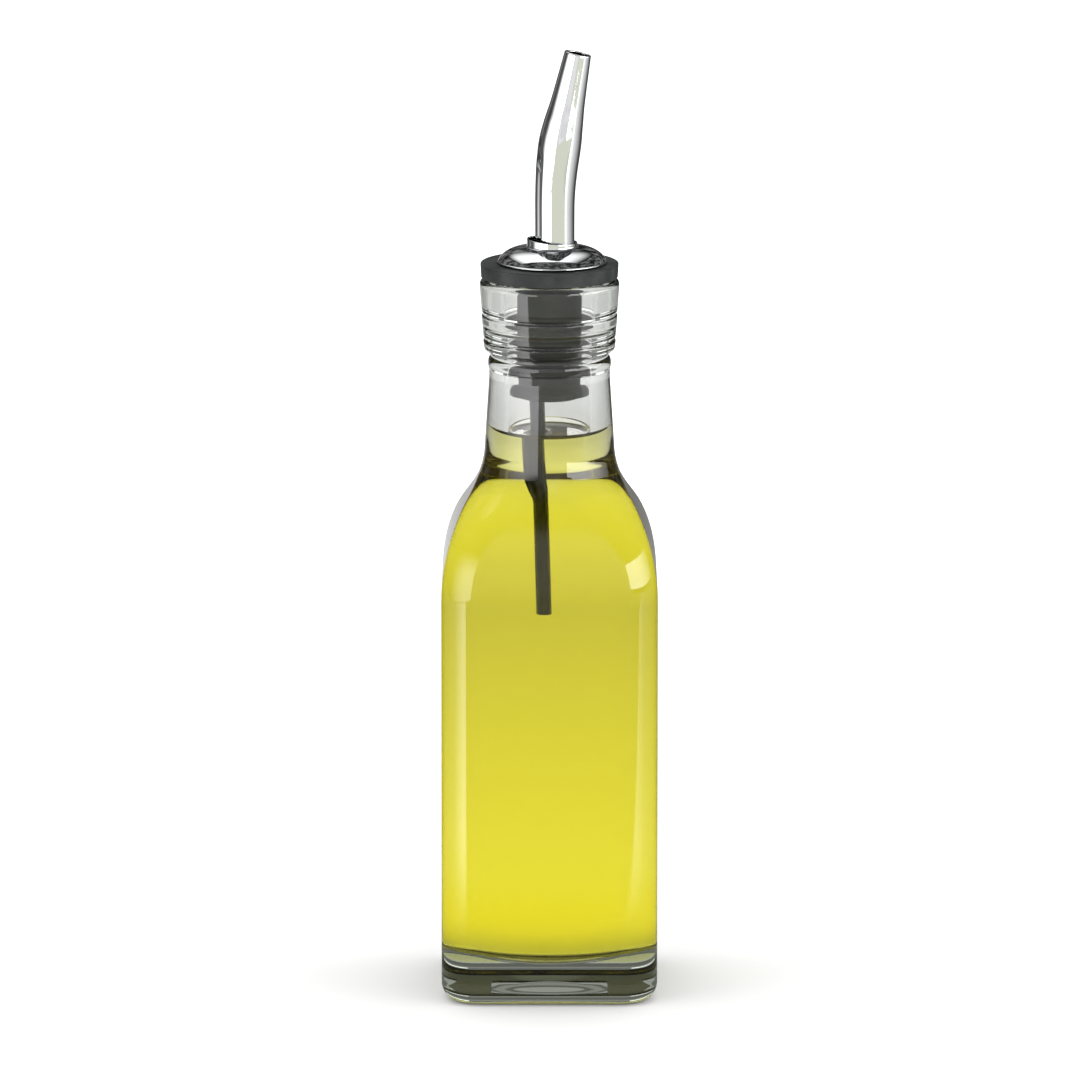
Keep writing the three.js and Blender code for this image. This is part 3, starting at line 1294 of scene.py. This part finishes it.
@dataclass(frozen=True)
class RubberStopper:
    """The rubber flange on the mouth and the finned plug inside it.

    Attributes:
        radius: The radius of the flange.
        foot: The radius of the flange's underside.
        flange: The heights of the flange's underside and top.
        edge: The rounding of its edges.
        core: The radius of the plug.
        tip: The radius of the plug's end.
        taper: The heights between which the plug tapers, from its end up.
        fins: The fins, from the lowest up.
        bore: The pouring bore, as (place across, radius).
        breather: The tube that passes through it.
        clearance: The room round the tube.
    """

    radius: float = 15.3
    foot: float = 15.15
    flange: tuple[float, float] = (160.75, 163.8)
    edge: float = 0.2
    core: float = 7.1
    tip: float = 6.65
    taper: tuple[float, float] = (133.7, 142.0)
    fins: tuple[Fin, ...] = (
        Fin(135.2, 2.6, 1.0, 8.85),
        Fin(140.4, 2.2, 0.9, 9.0),
        Fin(146.2, 3.4, 1.2, 9.0),
        Fin(151.4, 3.6, 1.7, 9.7),
    )
    bore: tuple[float, float] = (2.6, 2.95)
    breather: Breather = Breather()
    clearance: float = 0.05

    SHARP = math.radians(40)

    def plug_radius(self, height: float) -> float:
        """The plug's radius at a height, as it tapers a little towards its end."""
        low, high = self.taper
        return mix(self.tip, self.core, min(1.0, max(0.0, (height - low) / (high - low))))

    def outline(self) -> Outline:
        """Draws the stopper, from the middle of the plug's end to the middle of the flange.

        Returns:
            The outline.
        """
        edge, bottom = self.edge, self.taper[0]
        line = Outline().to(0.0, bottom).to(self.tip - edge, bottom)
        for fin in self.fins:
            low, high = fin.height - fin.root / 2, fin.height + fin.root / 2
            under, over = fin.height - fin.rim / 2, fin.height + fin.rim / 2
            lower, upper = self.plug_radius(low), self.plug_radius(high)
            line.to(lower, low - edge / 2)
            line.bend((lower, low), (mix(lower, fin.radius, 0.2), mix(low, under, 0.2)), 4)
            line.to(mix(lower, fin.radius, 0.85), mix(low, under, 0.85))
            line.bend((fin.radius, under), (fin.radius, under + edge), 4)
            line.to(fin.radius, over - edge)
            line.bend((fin.radius, over), (mix(fin.radius, upper, 0.15), mix(over, high, 0.15)), 4)
            line.to(mix(fin.radius, upper, 0.8), mix(over, high, 0.8))
            line.bend((upper, high), (upper, high + edge / 2), 4)
        low, high = self.flange
        line.to(self.core, low).to(self.foot - edge / 2, low)
        line.bend((self.foot, low), (self.foot, low + edge / 2), 3)
        line.to(self.radius, high - edge).bend((self.radius, high), (self.radius - edge, high), 5)
        line.to(self.core, high, 3).to(0.0, high, 2)
        return line

    def rod(self, radius: float) -> bmesh.types.BMesh:
        """An upright rod on the Z axis, longer than the stopper."""
        low, high = self.taper[0] - 1, self.flange[1] + 1
        return spun(Outline().to(0.0, low).to(radius, low).to(radius, high).to(0.0, high).points, 64)

    def cutters(self) -> list[bpy.types.Object]:
        """Makes the rods that cut the pouring bore and the tube's way.

        Returns:
            The rods.
        """
        across, radius = self.bore
        bore = self.rod(radius)
        bmesh.ops.translate(bore, vec=(across, 0, 0), verts=bore.verts)
        way = self.rod(self.breather.outer + self.clearance)
        self.breather.lean(way)
        return [finished("bore_cutter", bore), finished("breather_cutter", way)]

    def build(self) -> bpy.types.Object:
        """Makes the stopper.

        Returns:
            The stopper, dressed, in place of its node.
        """
        bm = spun(self.outline().points, ROUND_STEPS)
        piece = finished("rubber_stopper", bm, CharcoalRubber().build())
        for rod in self.cutters():
            cut = piece.modifiers.new(rod.name, "BOOLEAN")
            cut.operation, cut.solver, cut.object = "DIFFERENCE", "EXACT", rod
            with bpy.context.temp_override(object=piece, active_object=piece, selected_objects=[piece]):
                bpy.ops.object.modifier_apply(modifier=cut.name)
            bpy.data.objects.remove(rod)
        shade_by_angle(piece, self.SHARP)
        return stand_for(piece, "stopper")


def shade_by_angle(piece: bpy.types.Object, limit: float) -> None:
    """Marks the edges of a piece that turn by more than a limit as sharp.

    Args:
        piece: The piece.
        limit: The angle, in radians.
    """
    bm = bmesh.new()
    bm.from_mesh(piece.data)
    for edge in bm.edges:
        edge.smooth = not (edge.is_manifold and edge.calc_face_angle(0.0) > limit)
    bm.to_mesh(piece.data)
    bm.free()


@dataclass(frozen=True)
class ChromeCap:
    """The pressed dome on the flange, with the collar that holds the spout.

    Attributes:
        x: Where its middle lies, across.
        rim: The radius of its rim.
        bottom: The height of its underside.
        roll: The thickness of the rolled rim.
        turn: The point that the dome's curve heads for, as (radius, height).
        crown: The height of the dome's top.
        collar: The collar's outer and inner radius.
        top: The height of the collar.
        tilt: How much the collar's top slopes.
        foot: The rounding at the collar's foot.
    """

    x: float = 0.58
    rim: float = 12.2
    bottom: float = 164.1
    roll: float = 0.32
    turn: tuple[float, float] = (10.65, 167.0)
    crown: float = 167.45
    collar: tuple[float, float] = (5.6, 5.27)
    top: float = 168.9
    tilt: float = 0.08
    foot: float = 0.35

    def build(self) -> bpy.types.Object:
        """Makes the cap.

        Returns:
            The cap, dressed, in place of its node.
        """
        outer, inner = self.collar
        start = self.rim - 0.2
        low = self.bottom + self.roll
        half = self.roll / 2
        line = Outline().to(inner, self.bottom).to(self.rim - half, self.bottom, 4)
        line.arc((self.rim - half, self.bottom + half), (half, half), (-math.pi / 2, math.pi / 3), 8)
        line.bend((start - 0.1, low), (start - 0.12, low + 0.12), 4)
        line.bend(self.turn, (outer + self.foot, self.crown), 32)
        line.bend((outer + 0.05, self.crown + 0.02), (outer, self.crown + self.foot), 5)
        wall = (outer - inner) / 2
        line.to(outer, self.top - wall)
        line.arc((outer - wall, self.top - wall), (wall, wall), (0.0, math.pi), 8)
        line.to(inner, self.bottom + 1, 3)
        bm = spun(line.points, ROUND_STEPS, closed=True)
        middle = self.crown + self.foot

        def settle(point: Vector) -> Vector:
            """Slopes the collar's top and moves the cap to its place."""
            lift = smooth((point.z - middle + 0.2) / (self.top - middle + 0.2))
            return Vector((point.x + self.x, point.y, point.z - self.tilt * point.x * lift))

        warp(bm, settle)
        piece = finished("chrome_cap", bm, PolishedChrome("cap_chrome", wave=0.00003).build())
        return stand_for(piece, "cap")


@dataclass(frozen=True)
class Spout:
    """The bent chrome tube, pressed in beside the vent and open at its tip.

    Attributes:
        x: Where its foot lies, across.
        bottom: The height of its foot.
        wall: The thickness of the metal.
        bend_from: The height where it starts to bend.
        bend_radius: The radius of the bend.
        bend: How far it bends, in radians.
        lip: The rounding of the tip.
        shape: Its outer radius and the length along it.
        dent_turn: The direction of the pressed flat, in degrees.
        dent_spread: How far the flat reaches to each side, in degrees.
        dent_depth: How deep it is pressed.
        dent_end: The lengths along the spout between which it runs out.
    """

    x: float = 1.15
    bottom: float = 164.15
    wall: float = 0.55
    bend_from: float = 175.5
    bend_radius: float = 100.0
    bend: float = 0.2
    lip: float = 0.2
    shape: tuple[tuple[float, float], ...] = (
        (4.4, 0.0),
        (4.45, 13.8),
        (4.8, 25.3),
        (4.42, 30.8),
        (3.78, 36.3),
        (3.0, 46.8),
    )
    dent_turn: float = 200.0
    dent_spread: float = 30.0
    dent_depth: float = 1.1
    dent_end: tuple[float, float] = (19.3, 25.3)

    def middle(self, along: float) -> tuple[float, float, float]:
        """Where the spout's middle lies.

        Args:
            along: The length along the spout.

        Returns:
            Its place across, its height and its lean.
        """
        straight = self.bend_from - self.bottom
        lean = min(self.bend, max(0.0, along - straight) / self.bend_radius)
        past = max(0.0, along - straight - self.bend * self.bend_radius)
        across = self.x + self.bend_radius * (1 - math.cos(lean)) + past * math.sin(lean)
        up = self.bottom + min(along, straight) + self.bend_radius * math.sin(lean) + past * math.cos(lean)
        return across, up, lean

    def dent(self, along: float, turn: float) -> float:
        """How far the metal is pressed in.

        Args:
            along: The length along the spout.
            turn: The direction, in degrees.

        Returns:
            The depth.
        """
        off = abs((turn - self.dent_turn + 180) % 360 - 180) / self.dent_spread
        start, end = self.dent_end
        return self.dent_depth * (1 - smooth(off)) * (1 - smooth((along - start) / (end - start)))

    def build(self) -> bpy.types.Object:
        """Makes the spout.

        Returns:
            The spout, dressed, in place of its node.
        """
        outside = flowing(self.shape, 110)
        tip = outside[-1]
        inside = [point - Vector((self.wall, 0.0)) for point in reversed(outside)]
        half = self.wall / 2
        rim = Outline().arc((tip.x - half, tip.y), (half, self.lip), (0.0, math.pi), 8).points[1:-1]
        bm = spun(outside + rim + inside, 128, closed=True)

        def settle(point: Vector) -> Vector:
            """Presses the flat in and bends the tube.

            Args:
                point: A point of the straight tube.

            Returns:
                Its place on the spout.
            """
            reach = math.hypot(point.x, point.y)
            scale = (reach - self.dent(point.z, math.degrees(math.atan2(point.y, point.x)))) / reach
            across, up, lean = self.middle(point.z)
            side = point.x * scale
            return Vector((across + side * math.cos(lean), point.y * scale, up - side * math.sin(lean)))

        warp(bm, settle)
        piece = finished("chrome_spout", bm, PolishedChrome("spout_chrome").build())
        return stand_for(piece, "spout")


# Studio


@dataclass(frozen=True)
class Softbox:
    """A square lamp with a soft face.

    Attributes:
        name: Its name.
        place: Where its middle is, in metres.
        size: Its width and height, in metres.
        glow: How bright its face is.
        aim: The point that it faces.
    """

    name: str
    place: tuple[float, float, float]
    size: tuple[float, float]
    glow: float
    aim: tuple[float, float, float] = (0.0, 0.0, 0.1)

    def build(self) -> bpy.types.Object:
        """Hangs the lamp.

        Returns:
            The lamp.
        """
        lamp = bpy.data.lights.new(self.name, "AREA")
        lamp.shape = "RECTANGLE"
        lamp.size, lamp.size_y = self.size
        lamp.energy = self.glow * math.pi * self.size[0] * self.size[1]
        made = placed(self.name, lamp)
        made.location = self.place
        facing = Vector(self.aim) - Vector(self.place)
        made.rotation_euler = facing.to_track_quat("-Z", "Y").to_euler()
        made.visible_camera = False
        made.visible_transmission = False
        made.visible_glossy = False
        return made


@dataclass(frozen=True)
class Card:
    """A glowing card that only shows as a reflection, or only through glass.

    Attributes:
        name: Its name.
        corner: The lower corner that it starts from, in metres.
        along: From there to its other lower corner.
        rise: From there to its upper corner.
        glow: How bright it is where it starts and where it ends.
        fade: The shares of its length between which the brightness changes.
        soft: The shares of its height over which its lower and its upper edge fade.
        through: Whether it shows through glass, and not as a reflection.
    """

    name: str
    corner: tuple[float, float, float]
    along: tuple[float, float, float]
    rise: tuple[float, float, float]
    glow: tuple[float, float]
    fade: tuple[float, float] = (0.3, 1.0)
    soft: tuple[float, float] = (0.02, 0.02)
    through: bool = False

    def build(self) -> bpy.types.Object:
        """Stands the card up.

        Returns:
            The card.
        """
        along, rise, corner = Vector(self.along), Vector(self.rise), Vector(self.corner)
        middle = corner + (along + rise) / 2
        turned = Matrix((along, rise, along.cross(rise).normalized())).transposed().to_4x4()
        bm = bmesh.new()
        bm.loops.layers.uv.new("share")
        place = Matrix.Translation(middle) @ turned
        bmesh.ops.create_grid(bm, x_segments=1, y_segments=1, size=0.5, matrix=place, calc_uvs=True)
        material, graph = new_material(self.name)
        share, height, _ = graph.axes(graph.wire(graph.node("ShaderNodeTexCoord"), "UV"))
        start, end = self.glow
        lower, upper = self.soft
        level = share.ease(*self.fade) * (end - start) + start
        graph.finish(graph.glow(level * height.ease(0.0, lower) * height.ease(1.0, 1.0 - upper)))
        card = covered(self.name, bm, material)
        card.visible_camera = False
        card.visible_diffuse = False
        card.visible_glossy = not self.through
        card.visible_transmission = self.through
        card.visible_shadow = False
        return card


@dataclass(frozen=True)
class Room:
    """The dim room behind the lamps.

    Attributes:
        white: How bright it is to the camera.
        fill: How much light it gives.
        through: How bright it is through the glass, in front of the bottle and behind it.
        mirrored: How bright it is in glass and chrome, in front of the bottle and behind it.
        clutter: How the dark and the light things in it change that.
        ahead: How much brighter it is there straight in front, low down.
    """

    white: float = 1.1
    fill: float = 0.95
    through: tuple[float, float] = (0.2, 0.3)
    mirrored: tuple[float, float] = (0.09, 0.11)
    clutter: tuple[float, float] = (0.1, 2.3)
    ahead: float = 0.8

    def build(self) -> bpy.types.World:
        """Makes the room.

        Returns:
            The world.
        """
        world = bpy.data.worlds.new("studio_room")
        world.use_nodes = True
        graph = Graph(world.node_tree)
        way = graph.wire(graph.node("ShaderNodeTexCoord"), "Generated")
        _, back, _ = graph.axes(way)
        behind = back.ease(-0.3, 0.5)
        dark, light = self.clutter
        clutter = graph.noise(6.0, 4.0, 0.7, at=way).ease(0.42, 0.64) * (light - dark) + dark
        looks = (
            (graph.ray("Transmission"), self.through, 1.0),
            (graph.mirror_ray(), self.mirrored, clutter),
        )
        level = graph.ray("Camera") * (self.white - self.fill) + self.fill
        for kind, (front, rear), pattern in looks:
            shown = (behind * (rear - front) + front) * pattern
            level = level + kind * (shown - level)
        level = level + graph.mirror_ray() * back.ease(-0.7, -0.93) * self.ahead
        shown = graph.node("ShaderNodeBackground", inputs={"Color": WHITE, "Strength": level})
        graph.node("ShaderNodeOutputWorld", inputs={"Surface": graph.wire(shown)})
        return world


@dataclass(frozen=True)
class Studio:
    """The pale floor, the soft light and the camera.

    Attributes:
        camera: Where the camera stands, in metres.
        look_at: The height that it looks at, in metres.
        focal_pixels: Its focal length in pixels of a picture 1080 wide.
        floor: The floor's width and depth, in metres.
        room: The room.
        softboxes: The lamps.
        cards: What glass and chrome mirror of the lamps.
    """

    camera: tuple[float, float, float] = (-0.0021, -2.15, 0.56)
    look_at: float = 0.1011
    focal_pixels: float = 9884.0
    floor: tuple[float, float] = (6.0, 6.0)
    room: Room = Room()
    softboxes: tuple[Softbox, ...] = (
        Softbox("left_softbox", (-0.95, -0.25, 0.45), (1.3, 0.95), 1.6),
        Softbox("right_softbox", (0.95, -0.15, 0.45), (1.3, 0.95), 1.4),
        Softbox("top_softbox", (0.0, 0.3, 1.6), (2.4, 2.4), 0.5),
    )
    cards: tuple[Card, ...] = (
        Card(
            "left_card", (-0.28, -0.77, 0.001), (-0.67, 1.35, 0.0), (0.0, 0.0, 0.52), (4.4, 0.1),
            fade=(0.2, 0.65), soft=(0.02, 0.55),
        ),
        Card("right_card", (0.40, -0.70, 0.115), (0.42, 1.10, 0.0), (0.0, 0.0, 0.28), (7.0, 1.0)),
        Card("top_card", (0.9, 0.08, 1.4), (0.0, 2.6, 0.0), (-2.2, 0.0, 0.0), (1.4, 0.12), soft=(0.3, 0.3)),
        Card("back_foot", (-1.2, 1.0, 0.17), (2.4, 0.0, 0.0), (0.0, 0.0, 0.11), (0.6, 0.6), through=True),
        Card("back_left", (-1.2, 1.0, 0.28), (1.07, 0.0, 0.0), (0.0, 0.0, 0.09), (3.5, 3.5), through=True),
        Card("back_right", (0.13, 1.0, 0.28), (1.07, 0.0, 0.0), (0.0, 0.0, 0.09), (3.5, 3.5), through=True),
        Card("back_card", (-1.2, 1.0, 0.37), (2.4, 0.0, 0.0), (0.0, 0.0, 0.25), (0.8, 0.8), through=True),
    )

    PICTURE = 1080
    SENSOR = 36.0
    FAR = 20.0
    BOUNCES = 24
    MIRRORINGS = 8

    def build_camera(self) -> bpy.types.Object:
        """Sets up the camera at the photograph's place.

        Returns:
            The camera.
        """
        data = bpy.data.cameras.new("photo_camera")
        data.sensor_width = self.SENSOR
        data.lens = self.focal_pixels * self.SENSOR / self.PICTURE
        data.clip_end = self.FAR
        camera = placed("photo_camera", data)
        camera.location = self.camera
        _, y, z = self.camera
        camera.rotation_euler = (math.pi / 2 - math.atan2(z - self.look_at, -y), 0.0, 0.0)
        bpy.context.scene.camera = camera
        return camera

    def build_floor(self) -> bpy.types.Object:
        """Lays the floor.

        Returns:
            The floor.
        """
        bm = bmesh.new()
        bmesh.ops.create_grid(bm, x_segments=1, y_segments=1, size=0.5)
        bmesh.ops.scale(bm, vec=(*self.floor, 1.0), verts=bm.verts)
        floor = covered("floor", bm, PaleFloor().build())
        return floor

    def build(self) -> None:
        """Builds the whole studio."""
        self.build_camera()
        self.build_floor()
        bpy.context.scene.world = self.room.build()
        for thing in (*self.softboxes, *self.cards):
            thing.build()
        scene = bpy.context.scene
        scene.view_settings.view_transform = "Standard"
        scene.view_settings.look = "None"
        cycles = scene.cycles
        cycles.max_bounces = self.BOUNCES
        cycles.transmission_bounces = self.BOUNCES
        cycles.transparent_max_bounces = self.BOUNCES
        cycles.glossy_bounces = self.MIRRORINGS
        cycles.caustics_reflective = False
        cycles.caustics_refractive = False


def main() -> None:
    """Builds the studio and every piece of the bottle, and notes their sizes."""
    logging.basicConfig(level=logging.INFO, format="%(message)s")
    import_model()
    Studio().build()
    for part in (GlassBottle(), OilFilling(), Breather(), RubberStopper(), ChromeCap(), Spout()):
        piece = part.build()
        log.info("%s: %d faces", piece.name, len(piece.data.polygons))


if __name__ == "__main__":
    main()
